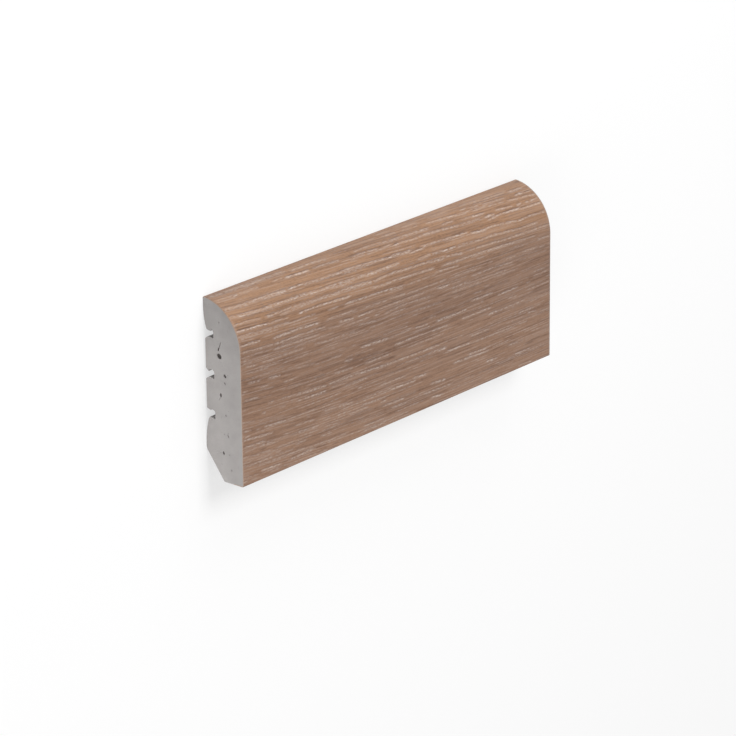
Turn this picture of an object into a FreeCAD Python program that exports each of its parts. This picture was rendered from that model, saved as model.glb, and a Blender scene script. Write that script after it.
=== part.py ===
"""Foil-wrapped skirting board, one short length with both ends cut square.

The board lies on its back with its face up. X runs along its length, Y from its lower edge to its
top edge, and Z from the back to the face. The origin is under the middle of the board, at the
level of the back. All sizes are in millimetres.

The section is drawn in the board's own terms: depth is measured from the face towards the wall,
and height from the lower edge, so a point of the section is (depth, height).
"""

import math
import os

import FreeCAD, Part

# Overall sizes
board_length = 154.5
board_height = 60.0
board_depth = 15.4

# Front and top of the section
top_radius = 16.3           # the face turns over to the top edge in one arc
back_edge_radius = 0.5      # where the top meets the back
front_edge_radius = 0.5     # where the face meets the lower edge

# Decor foil, wrapped over the face and the top and trimmed at the back
foil_thickness = 0.3
foil_return = 4.0           # how far it turns in under the lower edge, from the face

# Lower edge and the sloped cable space behind it
base_depth = 8.1            # flat lower edge, from the face to the slope
slope_height = 9.7          # height at which the slope would meet the back
shoulder_radius = 2.5       # between the slope and the lower land

# Lands that lie on the wall, and the hollows between them
lower_land_height = 1.0
upper_land_height = 2.6
lower_lip_setback = 1.25    # how far the ridge falls back at the lowest groove
upper_lip_setback = 1.25    # how far the ridge falls back at the highest groove
upper_lip_drop = 0.5        # how far that ridge hangs below the groove's roof
hollow_depth = 0.6          # the back between the grooves, behind the lands

# Clip grooves
groove_pitch = 13.35
groove_mouth = 3.5          # height of the mouth
groove_depth = 3.45         # from the hollow of the back to the groove's inner wall
crest_reach = 1.2           # crest of the lower wall, from the hollow of the back
crest_rise = 0.8            # crest above the lower lip
floor_rise = 0.45           # inner end of the lower wall above the lower lip
roof_drop = 0.15            # roof of the groove below the upper lip
roof_chamfer = 0.6          # upper inner corner
lip_radius = 0.5            # lips of the grooves


class Barb:
    """Tooth on the upper wall of a clip groove, which the clip's spring hooks behind."""

    def __init__(self, reach, drop, slant):
        self.reach = reach          # from the hollow of the back to the tip
        self.drop = drop            # tip below the upper lip
        self.slant = slant          # how far its inner side leans inwards


lower_barb = Barb(reach=1.6, drop=0.45, slant=0.3)
middle_barb = Barb(reach=1.1, drop=0.9, slant=0.4)
upper_barb = Barb(reach=2.2, drop=0.8, slant=0.5)

# Heights and depths worked out from the sizes above
hollow = board_depth - hollow_depth
groove_wall = hollow - groove_depth
crown_offset = max(top_radius + back_edge_radius - board_depth, 0.0)
corner_rise = math.sqrt((top_radius - back_edge_radius) ** 2 - crown_offset ** 2)
arc_height = board_height - back_edge_radius - corner_rise
arc_end = math.atan2(corner_rise, crown_offset)
arc_centre = (top_radius, arc_height)
top_corner = (board_depth - back_edge_radius, board_height - back_edge_radius)
foot_corner = (front_edge_radius, front_edge_radius)
middle_groove_height = (slope_height + board_height) / 2
shortest_edge = 1e-4


def place(depth, height, along=0.0):
    """Section point to its place on the lying board."""
    return FreeCAD.Vector(along - board_length / 2, height - board_height / 2, board_depth - depth)


class Section:
    """Closed outline of lines and arcs, drawn from point to point."""

    def __init__(self, depth, height):
        self.start = (depth, height)
        self.at = self.start
        self.edges = []

    def line(self, depth, height):
        a, b = place(*self.at), place(depth, height)
        if a.distanceToPoint(b) > shortest_edge:
            self.edges.append(Part.LineSegment(a, b).toShape())
        self.at = (depth, height)

    def arc(self, centre, radius, first, last):
        """Arc about centre; an angle is 0 towards the face and a right angle towards the top."""
        points = []
        for angle in (first, (first + last) / 2, last):
            depth = centre[0] - radius * math.cos(angle)
            points.append((depth, centre[1] + radius * math.sin(angle)))
        self.line(*points[0])
        self.edges.append(Part.Arc(*(place(*p) for p in points)).toShape())
        self.at = points[2]

    def rounded(self, corner, towards, radius):
        """Line to the corner, turned through an arc towards the next point."""
        come = FreeCAD.Vector(self.at[0] - corner[0], self.at[1] - corner[1], 0)
        go = FreeCAD.Vector(towards[0] - corner[0], towards[1] - corner[1], 0)
        half = come.getAngle(go) / 2
        cut = min(radius / math.tan(half), 0.45 * come.Length, 0.45 * go.Length)
        radius = cut * math.tan(half)
        come.normalize()
        go.normalize()
        middle = (come + go).normalize() * (radius / math.sin(half) - radius)
        first = (corner[0] + come.x * cut, corner[1] + come.y * cut)
        between = (corner[0] + middle.x, corner[1] + middle.y)
        last = (corner[0] + go.x * cut, corner[1] + go.y * cut)
        self.line(*first)
        self.edges.append(Part.Arc(place(*first), place(*between), place(*last)).toShape())
        self.at = last

    def relief(self, land_end, lip):
        """Arc that leaves a land smoothly and falls back to a groove's lip, in either order."""
        setback = abs(lip[0] - land_end[0])
        span = abs(lip[1] - land_end[1])
        radius = (setback ** 2 + span ** 2) / (2 * setback)
        half = math.asin(min(span / radius, 1.0)) / 2
        side = 1 if lip[1] > land_end[1] else -1
        between = (
            land_end[0] - radius * (1 - math.cos(half)),
            land_end[1] + side * radius * math.sin(half),
        )
        first, last = (land_end, lip) if self.near(land_end) else (lip, land_end)
        self.line(*first)
        self.edges.append(Part.Arc(place(*first), place(*between), place(*last)).toShape())
        self.at = last

    def near(self, point):
        return math.dist(self.at, point) < shortest_edge

    def solid(self):
        self.line(*self.start)
        face = Part.Face(Part.Wire(self.edges))
        return face.extrude(FreeCAD.Vector(board_length, 0, 0))


def clip_groove(section, middle, barb, lower_lip):
    """Groove across the back, drawn from its lower lip to the tip of its barb."""
    mouth_floor = middle - groove_mouth / 2
    mouth_top = middle + groove_mouth / 2
    crest = (hollow - crest_reach, mouth_floor + crest_rise)
    roof = mouth_top - roof_drop
    tip = (hollow - barb.reach, mouth_top - barb.drop)
    if not section.near((lower_lip, mouth_floor)):
        section.rounded((lower_lip, mouth_floor), crest, lip_radius)
    section.line(*crest)
    section.line(groove_wall, mouth_floor + floor_rise)
    section.line(groove_wall, roof - roof_chamfer)
    section.line(groove_wall + roof_chamfer, roof)
    section.line(tip[0] - barb.slant, roof)
    section.line(*tip)


def ridge(section, below, above):
    """Back between two grooves, from the upper lip of the one below."""
    upper_lip = (hollow, below + groove_mouth / 2)
    section.rounded(upper_lip, (hollow, above - groove_mouth / 2), lip_radius)


def core():
    """Foamed polymer body: everything behind and under the foil."""
    middle = middle_groove_height
    lower = middle - groove_pitch
    upper = middle + groove_pitch
    lower_lip = (board_depth - lower_lip_setback, lower - groove_mouth / 2)
    upper_lip = (board_depth - upper_lip_setback, upper + groove_mouth / 2 - upper_lip_drop)
    shoulder = (board_depth, slope_height)

    section = Section(foil_return, 0)
    section.line(base_depth, 0)
    section.rounded(shoulder, (board_depth, middle), shoulder_radius)
    land_end = (board_depth, section.at[1] + lower_land_height)
    section.line(*land_end)
    section.relief(land_end, lower_lip)
    clip_groove(section, lower, lower_barb, lower_lip[0])
    ridge(section, lower, middle)
    clip_groove(section, middle, middle_barb, hollow)
    ridge(section, middle, upper)
    clip_groove(section, upper, upper_barb, hollow)
    section.relief((board_depth, top_corner[1] - upper_land_height), upper_lip)
    section.line(board_depth, top_corner[1])
    section.arc(top_corner, back_edge_radius - foil_thickness, math.pi, arc_end)
    section.arc(arc_centre, top_radius - foil_thickness, arc_end, 0)
    section.arc(foot_corner, front_edge_radius - foil_thickness, 0, -math.pi / 2)
    section.line(foil_return, foil_thickness)
    return section.solid()


def foil():
    """Decor foil: one even layer round the lower edge, up the face and over the top to the back."""
    section = Section(foil_return, 0)
    section.line(foil_return, foil_thickness)
    section.arc(foot_corner, front_edge_radius - foil_thickness, -math.pi / 2, 0)
    section.arc(arc_centre, top_radius - foil_thickness, 0, arc_end)
    section.arc(top_corner, back_edge_radius - foil_thickness, arc_end, math.pi)
    section.arc(top_corner, back_edge_radius, math.pi, arc_end)
    section.arc(arc_centre, top_radius, arc_end, 0)
    section.arc(foot_corner, front_edge_radius, 0, -math.pi / 2)
    return section.solid()


def main():
    os.makedirs("parts", exist_ok=True)
    for name, shape in (("foam_core", core()), ("oak_foil", foil())):
        if not shape.isValid() or len(shape.Solids) != 1:
            raise ValueError(name + " is not one valid solid")
        print(name, "volume", round(shape.Volume, 2), "centre", shape.CenterOfMass)
        shape.Solids[0].exportStep("parts/" + name + ".step")


main()
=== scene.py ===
import math

import bmesh
import bpy
import numpy as np
from bpy.props import FloatProperty, FloatVectorProperty, IntProperty, PointerProperty
from mathutils import Euler, Matrix, Vector


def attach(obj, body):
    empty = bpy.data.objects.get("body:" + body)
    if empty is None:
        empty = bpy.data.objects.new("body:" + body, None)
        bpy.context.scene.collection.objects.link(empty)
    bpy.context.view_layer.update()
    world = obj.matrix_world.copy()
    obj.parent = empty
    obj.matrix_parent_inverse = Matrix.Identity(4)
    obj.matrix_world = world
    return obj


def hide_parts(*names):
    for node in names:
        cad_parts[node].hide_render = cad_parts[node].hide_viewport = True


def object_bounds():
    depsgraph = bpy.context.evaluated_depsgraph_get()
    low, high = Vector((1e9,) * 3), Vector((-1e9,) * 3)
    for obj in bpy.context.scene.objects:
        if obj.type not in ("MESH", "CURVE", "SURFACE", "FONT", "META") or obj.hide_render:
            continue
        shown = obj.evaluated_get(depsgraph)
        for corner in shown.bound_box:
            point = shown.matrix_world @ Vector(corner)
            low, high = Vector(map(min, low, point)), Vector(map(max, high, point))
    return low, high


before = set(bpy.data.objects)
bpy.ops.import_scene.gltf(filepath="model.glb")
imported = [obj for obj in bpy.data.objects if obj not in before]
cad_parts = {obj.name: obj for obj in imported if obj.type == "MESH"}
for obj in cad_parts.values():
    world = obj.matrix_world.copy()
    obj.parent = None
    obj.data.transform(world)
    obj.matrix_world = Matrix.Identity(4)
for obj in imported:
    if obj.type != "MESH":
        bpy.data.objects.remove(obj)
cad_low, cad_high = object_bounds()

bl_info = {
    "name": "Skirting board length",
    "version": (1, 0, 0),
    "blender": (4, 5, 0),
    "location": "3D View > Sidebar > Skirting",
    "description": "Dresses a foil-wrapped skirting board: foamed core, limed oak foil and a pale stage",
    "category": "Object",
}

MM = 0.001
board_length = round(cad_high[0] - cad_low[0], 5)
board_height = round(cad_high[1] - cad_low[1], 5)
board_depth = round(cad_high[2] - cad_low[2], 5)


def place(along, depth, height):
    """Point of the board: along its length from the left end, behind the face, above the foot."""
    return (along - board_length / 2, height - board_height / 2, board_depth - depth)


def linear(red, green, blue):
    """Colour as picked on a screen, 0 to 255, to Blender's linear values."""
    out = []
    for value in (red, green, blue):
        share = value / 255
        out.append(share / 12.92 if share <= 0.04045 else ((share + 0.055) / 1.055) ** 2.4)
    return tuple(out)


# Settings, with the sizes in metres


class FoilSettings(bpy.types.PropertyGroup):
    top_radius: FloatProperty(
        name="Top radius", description="Arc from the face to the top edge", default=0.0163, unit="LENGTH")
    back_edge_radius: FloatProperty(
        name="Back edge radius", description="Where the top meets the back", default=0.0005, unit="LENGTH")
    front_edge_radius: FloatProperty(
        name="Front edge radius", description="Where the face meets the foot", default=0.0005,
        unit="LENGTH")
    thickness: FloatProperty(
        name="Thickness", description="Foil thickness", default=0.0003, unit="LENGTH")
    foot_return: FloatProperty(
        name="Foot return", description="How far it turns in under the foot", default=0.004, unit="LENGTH")
    emboss: FloatProperty(
        name="Emboss", description="Depth of the pressed grain", default=0.00006, unit="LENGTH")
    step_along: FloatProperty(
        name="Step along", description="Mesh step along the board", default=0.0008, unit="LENGTH")
    step_across: FloatProperty(
        name="Step across", description="Mesh step across the grain", default=0.00016, unit="LENGTH")
    seed: IntProperty(name="Seed", description="Seed of the grain", default=11)
    oak: FloatVectorProperty(
        name="Oak", description="Ground of the grain", default=linear(148, 115, 92), subtype="COLOR")
    # Painted light: this ground is a warmer print that is also lighter, standing in for the light on the
    # crown
    warm_oak_and_painted_light: FloatVectorProperty(
        name="Warm oak", description="Ground of the lighter stripe at the top",
        default=linear(164, 126, 95), subtype="COLOR")
    vein: FloatVectorProperty(
        name="Vein", description="Dark lines of the grain", default=linear(99, 69, 51), subtype="COLOR")
    lime: FloatVectorProperty(
        name="Lime", description="White filling of the pores", default=linear(209, 195, 186),
        subtype="COLOR")
    cut_edge: FloatVectorProperty(
        name="Cut edge", description="Foil seen on its sawn edge", default=linear(176, 157, 144),
        subtype="COLOR")


class CoreSettings(bpy.types.PropertyGroup):
    foam: FloatVectorProperty(
        name="Foam", description="Sawn foam", default=linear(161, 157, 155), subtype="COLOR")
    # Painted shade: the pore colour is darker than the foam, standing for the shade inside the pores
    pore: FloatVectorProperty(
        name="Pore", description="Inside of a pore", default=linear(126, 121, 118), subtype="COLOR")
    small_pores: IntProperty(name="Small pores", description="Fine pores on each end", default=8)
    large_pores: IntProperty(name="Large pores", description="Large pores on the right end", default=14)
    seed: IntProperty(name="Seed", description="Seed of the pores", default=5)


class StageSettings(bpy.types.PropertyGroup):
    camera_place: FloatVectorProperty(
        name="Camera place", description="Where the camera stands",
        default=(-0.882772, 0.415853, 0.765419), subtype="TRANSLATION", precision=6)
    camera_turn: FloatVectorProperty(
        name="Camera turn", description="The camera's rotation, in degrees",
        default=(-19.57874, -49.30559, -0.92668), precision=5)
    lens: FloatProperty(
        name="Lens", description="Focal length in millimetres", default=185.9007, unit="CAMERA")
    floor_size: FloatProperty(
        name="Floor size", description="Side of the floor", default=6.0, unit="LENGTH")
    key_power: FloatProperty(
        name="Key power", description="Lamp above the board", default=8.5, unit="POWER")
    crown_power: FloatProperty(
        name="Crown power", description="Low lamp beyond the top edge", default=5.0, unit="POWER")
    fill_power: FloatProperty(
        name="Fill power", description="Lamp beyond the left end", default=3.6, unit="POWER")
    world_level: FloatProperty(
        name="World level", description="Strength of the even light", default=0.5)


# Outer side of the foil


class FoilPath:
    """Section line of the foil's outer side, by its length s from the lower front corner, in metres."""

    def __init__(self, settings):
        self.radius = settings.top_radius
        self.edge = settings.front_edge_radius
        self.back_edge = settings.back_edge_radius
        inner = self.radius - self.back_edge
        crown = self.radius + self.back_edge - board_depth
        rise = math.sqrt(inner ** 2 - crown ** 2)
        self.arc_height = board_height - self.back_edge - rise
        self.arc_turn = math.atan2(rise, crown)
        self.arc_top = self.arc_height + self.radius * self.arc_turn
        self.end = self.arc_top + self.back_edge * (math.pi - self.arc_turn)
        self.start = self.edge - self.edge * math.pi / 2 - (settings.foot_return - self.edge)

    def points(self, s):
        """Depth, height and turn of the surface; the turn is 0 on the face and grows towards the top."""
        arc = np.clip((s - self.arc_height) / self.radius, 0, self.arc_turn)
        over = np.clip((s - self.arc_top) / self.back_edge, 0, math.pi - self.arc_turn)
        under = np.clip((self.edge - s) / self.edge, 0, math.pi / 2)
        run = np.clip(self.edge - self.edge * math.pi / 2 - s, 0, None)
        turn = arc + over - under
        depth = self.radius * (1 - np.cos(arc)) + self.edge * (1 - np.cos(under)) + run
        height = np.clip(s, self.edge, self.arc_height)
        height += self.radius * np.sin(arc) - self.edge * np.sin(under)
        depth += self.back_edge * (np.cos(self.arc_turn) - np.cos(self.arc_turn + over))
        height += self.back_edge * (np.sin(self.arc_turn + over) - np.sin(self.arc_turn))
        return depth, height, turn


# Grain of the foil. x runs along the board and s up the face and over the top, both in millimetres


left_fall = 0.095           # fall of the grain for each millimetre, at the left end
crown_fall = 0.05           # the same far to the right, on the crown; the face runs level there
bend = 42.0                 # length over which the one turns into the other
crown_from, crown_run = 40.0, 18.0


def drift(x, s):
    """How far a line of the grain has fallen, at x, from its height at the left end."""
    share = np.clip((s - crown_from) / crown_run, 0, 1)
    right_fall = crown_fall * share * share * (3 - 2 * share)
    return right_fall * x + (left_fall - right_fall) * bend * (1 - np.exp(-x / bend))


class Grain:
    """Lime, shade and a broad haziness that also holds painted shade, of the foil, painted on a grid of
    rows s and columns x.
    """

    longest_point = 1.6         # a line comes to its point over this, or over a share of its length
    point_share = 0.35
    power_spacing = 1.2         # how often the strength and the width of a line change
    width_spacing = 3.1
    spreads_reached = 3.5       # past this many spreads a line has faded out
    smoothing = (-1.6, -0.6, 0.6, 1.6)     # steps along a line whose mean rounds its corners
    dark_away = (0.34, 0.45)    # from a line of the grain up to its dark line
    dark_share = (0.4, 1.2)
    dash_length = (3, 11)       # bright dashes of a vein, how far they overlap and how bright they are
    dash_overlap = (0.3, 1.5)
    dash_share = (0.6, 0.95)

    def __init__(self, x, s, seed):
        self.x = x
        self.s = s
        self.row = s[1] - s[0]
        self.lime = np.zeros((len(s), len(x)))
        self.shade = np.zeros_like(self.lime)
        self.haze_and_painted_shade = np.zeros_like(self.lime)
        self.random = np.random.default_rng(seed)

    def uneven(self, x, spacing):
        """Smooth random values from 0 to 1 along x."""
        knots = np.arange(x[0] - spacing, x[-1] + 2 * spacing, spacing)
        return np.interp(x, knots, self.random.random(len(knots)))

    def stroke(self, field, points, spread, strength, wobble=0.06, ragged=0.4):
        """Paint one line of the grain through points of x and height, pointed at both ends."""
        first, last = points[0][0], points[-1][0]
        columns = np.nonzero((self.x >= first) & (self.x <= last))[0]
        if len(columns) < 2:
            return
        x = self.x[columns]
        taper = min(self.point_share * (last - first), self.longest_point)
        body = np.clip(np.minimum(x - first, last - x) / taper, 0, 1) ** 0.6
        phase = self.random.uniform(0, 6.3, 2)
        along = [point[0] for point in points]
        heights = [point[1] for point in points]
        path = sum(np.interp(x + step, along, heights) for step in self.smoothing) / 4
        path = path + wobble * (np.sin(x / 4.7 + phase[0]) + 0.6 * np.sin(x / 2.1 + phase[1]))
        power = strength * body * (1 - ragged * self.uneven(x, self.power_spacing))
        wide = spread * (0.75 + 0.5 * self.uneven(x, self.width_spacing))
        reach = self.spreads_reached * spread
        low = max(int((path.min() - reach - self.s[0]) / self.row), 0)
        high = min(int((path.max() + reach - self.s[0]) / self.row) + 2, len(self.s))
        if low >= high:
            return
        away = (self.s[low:high, None] - path[None, :]) / wide
        part = field[low:high, columns[0]:columns[-1] + 1]
        np.maximum(part, power * np.exp(-0.5 * away * away), out=part)

    def scatter(self, field, count, heights, lengths, spreads, powers, tilt=0.0):
        """Many short lines that follow the fall of the grain, with a little tilt of their own."""
        random = self.random
        for _ in range(count):
            length = random.uniform(*lengths)
            first = random.uniform(self.x[0] - length, self.x[-1])
            last = first + length
            start = random.uniform(*heights)
            end = start - drift(last, start) + drift(first, start) - random.uniform(0, tilt) * length
            points = ((first, start), (last, end))
            self.stroke(field, points, random.uniform(*spreads), random.uniform(*powers))

    def level(self, x, height):
        """Height at x of the line that starts at a height at the left end; neighbours sway alike."""
        sway = 0.2 * np.sin(x / 19 + height / 7) + 0.1 * np.sin(x / 8.3 - height / 5)
        return height - drift(x, height) + sway

    def line(self, height, dashes, gaps, spreads, powers):
        """One line of the grain along the whole board: dashes, each with a dark line above it."""
        random = self.random
        at = self.x[0] - random.uniform(0, dashes[1])
        while at < self.x[-1]:
            to = at + random.uniform(*dashes)
            start, end = self.level(at, height), self.level(to, height)
            power = powers[0] + (powers[1] - powers[0]) * random.random() ** 1.5
            self.stroke(self.lime, ((at, start), (to, end)), random.uniform(*spreads), power)
            away = random.uniform(*self.dark_away)
            dark = random.uniform(*self.dark_share) * power
            above = ((at - 1, start + away), (to + 2, end + away))
            self.stroke(self.shade, above, 0.9 * spreads[0], dark)
            at = to + random.uniform(*gaps)

    def vein(self, strength, width, *points):
        """Limed vein through points: a soft pale band, brighter dashes and a dark line on each side."""
        random = self.random
        first, last = points[0][0], points[-1][0]
        along = [point[0] for point in points]
        heights = [point[1] for point in points]
        self.stroke(self.lime, points, 0.5 * width, 0.6 * strength, wobble=0.03, ragged=0.3)
        at = first
        while at < last - 1:
            to = min(at + random.uniform(*self.dash_length), last)
            inside = [point for point in points if at < point[0] < to]
            shift = random.normal(0, 0.12) * width
            dash = [(at, np.interp(at, along, heights)), *inside, (to, np.interp(to, along, heights))]
            dash = [(x, height + shift) for x, height in dash]
            bright = strength * random.uniform(*self.dash_share)
            self.stroke(self.lime, dash, 0.3 * width, bright, wobble=0.03, ragged=0.3)
            at = to - random.uniform(*self.dash_overlap)
        away = 0.5 * width + 0.2
        above = [(x, height + away) for x, height in points]
        below = [(x, height - away) for x, height in points]
        self.stroke(self.shade, above, 0.16, 1.3 * strength, wobble=0.05)
        self.stroke(self.shade, below, 0.14, 0.55 * strength, wobble=0.05)


# Veins that stand out most, as read off: strength and width, then points along the board and up the
# face. The main veins of the face are all equally wide
top_veins = (
    (0.5, 1, (1, 66.1), (4, 66.2), (7, 66.1)), (0.5, 1, (14.5, 65.2), (18, 65.4), (23, 65.2)),
    (0.4, 0.6, (9, 65.3), (13, 65.6)), (0.35, 0.7, (24, 65.3), (29, 65.5), (35, 65.2)),
    (0.3, 1.1, (0, 63.8), (6, 63.3), (12, 63.1), (20, 63)), (0.7, 0.4, (7.5, 62.8), (10.5, 63.1)),
    (0.35, 0.6, (26, 63), (31, 63.1)), (0.85, 0.6, (31.5, 62.5), (35, 62.5), (38, 62.2), (43, 62.1)),
    (0.45, 0.6, (44, 62.2), (50, 62.1), (57, 61.5)), (0.6, 0.4, (52, 61.8), (56, 61.6)),
    (0.35, 0.8, (45, 64.5), (50, 64), (54, 64)), (0.3, 0.8, (62, 65.6), (70, 65.4), (78, 65)),
    (0.5, 0.6, (62, 60.7), (66, 61), (70, 60.8), (75, 60.3)), (0.6, 0.4, (70, 60.7), (73, 60.6)),
    (0.35, 0.6, (64, 62.5), (70, 62.7), (78, 62.3)), (0.3, 0.5, (60, 60), (65, 60.1), (72, 59.7)),
    (0.4, 0.6, (73, 59.9), (81, 60.2)), (0.4, 0.7, (77, 61.8), (82, 61.8)),
    (0.45, 0.6, (80, 64.5), (87, 64.2)), (0.7, 0.5, (81, 61.7), (87, 61.6)),
    (0.5, 0.6, (87, 61.6), (93, 61.3), (98, 61), (101, 60.8)), (0.35, 0.8, (79, 66.3), (86, 65.9)),
    (0.35, 0.7, (91, 65.2), (95, 65.4), (99, 65)), (0.5, 0.4, (95.5, 63.6), (97.5, 63.3)),
    (0.3, 0.7, (89, 63.9), (95, 63.5)), (0.9, 0.5, (81.3, 59.3), (84.5, 59.5)),
    (0.5, 0.6, (84, 59.6), (88, 59.2), (91, 59), (96, 59.2)),
    (0.55, 0.6, (95, 59.2), (100, 59), (104, 58.6), (109, 58.2), (113.5, 57.9)),
    (0.5, 0.35, (108, 58.1), (112.5, 57.9)), (0.55, 0.5, (106, 60), (108, 60.3), (112.5, 60.1)),
    (0.5, 0.6, (101, 63), (104, 62.7), (110, 62.4), (117, 61.6)), (0.3, 1, (104, 65), (114, 64.6)),
    (0.6, 0.5, (118.5, 63.1), (122.5, 63.2)), (0.5, 0.5, (123, 62.7), (128, 62.3)),
    (0.45, 0.6, (129, 62), (134, 61.8), (141, 61.3)), (0.4, 0.6, (115, 61.5), (119, 61.2), (122, 61.6)),
    (0.45, 0.5, (122.5, 60.9), (126, 60.9), (130, 60.8)),
    (0.4, 0.5, (130, 60.6), (135, 60.4), (139, 60.1)), (0.5, 0.5, (131, 64), (136, 63.9), (143, 63.6)),
    (0.55, 0.7, (144, 63.3), (148, 63.1), (152, 62.8)),
    (0.85, 0.5, (145, 60.7), (147, 61), (150, 60.7)), (0.7, 0.4, (150, 60.5), (154.5, 60.5)),
    (0.55, 0.5, (140, 59.9), (144, 59.5), (147, 59.2)),
    (0.6, 0.5, (146.5, 59.1), (149, 59.2), (154.5, 58.5)), (0.4, 0.5, (115, 59.4), (121, 59.2)),
    (0.8, 0.45, (120, 59.2), (124, 58.9), (127.5, 58.7)),
    (0.4, 0.5, (114, 58), (119, 57.7), (124, 57.4)), (0.65, 0.5, (125, 57), (128, 57.3), (131, 57.1)),
    (0.55, 0.5, (132, 58.3), (137, 57.8), (141, 57.5)), (0.7, 0.5, (142.5, 57.1), (145.5, 57.4)),
    (0.5, 0.5, (146, 57), (150, 56.9), (154.5, 57.1)),
    (0.35, 0.8, (120, 65.2), (126, 64.7), (131, 64.4)), (0.45, 1, (0, 59.6), (5, 59.1), (12, 58.4)),
    (0.55, 0.5, (12, 59), (18, 58.8), (25, 58.6), (29, 58.2)), (0.5, 0.4, (21, 58.8), (25.5, 58.5)),
    (0.9, 0.45, (29, 58.2), (32, 58.25), (36, 58.1)), (0.4, 0.5, (34, 58.3), (40, 57.7)),
    (0.4, 0.7, (40, 57.5), (45, 57.6), (50, 57.6)),
    (0.55, 0.6, (49, 57.5), (53, 57.2), (56, 57.5), (60, 57.2), (64, 57), (67, 56.5), (71, 56.5),
     (74, 56.2)),
    (0.35, 0.7, (53, 56.7), (60, 56.3), (66, 56.4)), (1, 0.5, (73, 56.2), (78, 56)),
    (0.45, 1.2, (0, 66.6), (10, 66.1), (24, 65.8), (34, 65.3)),
    (0.45, 0.7, (36, 64.7), (44, 64.6), (52, 64.2)),
    (0.45, 1.2, (0, 59.3), (8, 58.8), (20, 58.5), (29, 58.1)),
    (0.4, 0.8, (35, 58), (42, 57.5), (52, 57.2)), (0.4, 0.8, (52, 57.3), (64, 56.8), (74, 56.3)),
    (0.45, 0.6, (46, 62.2), (52, 61.9), (56, 61.8)),
)
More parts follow.
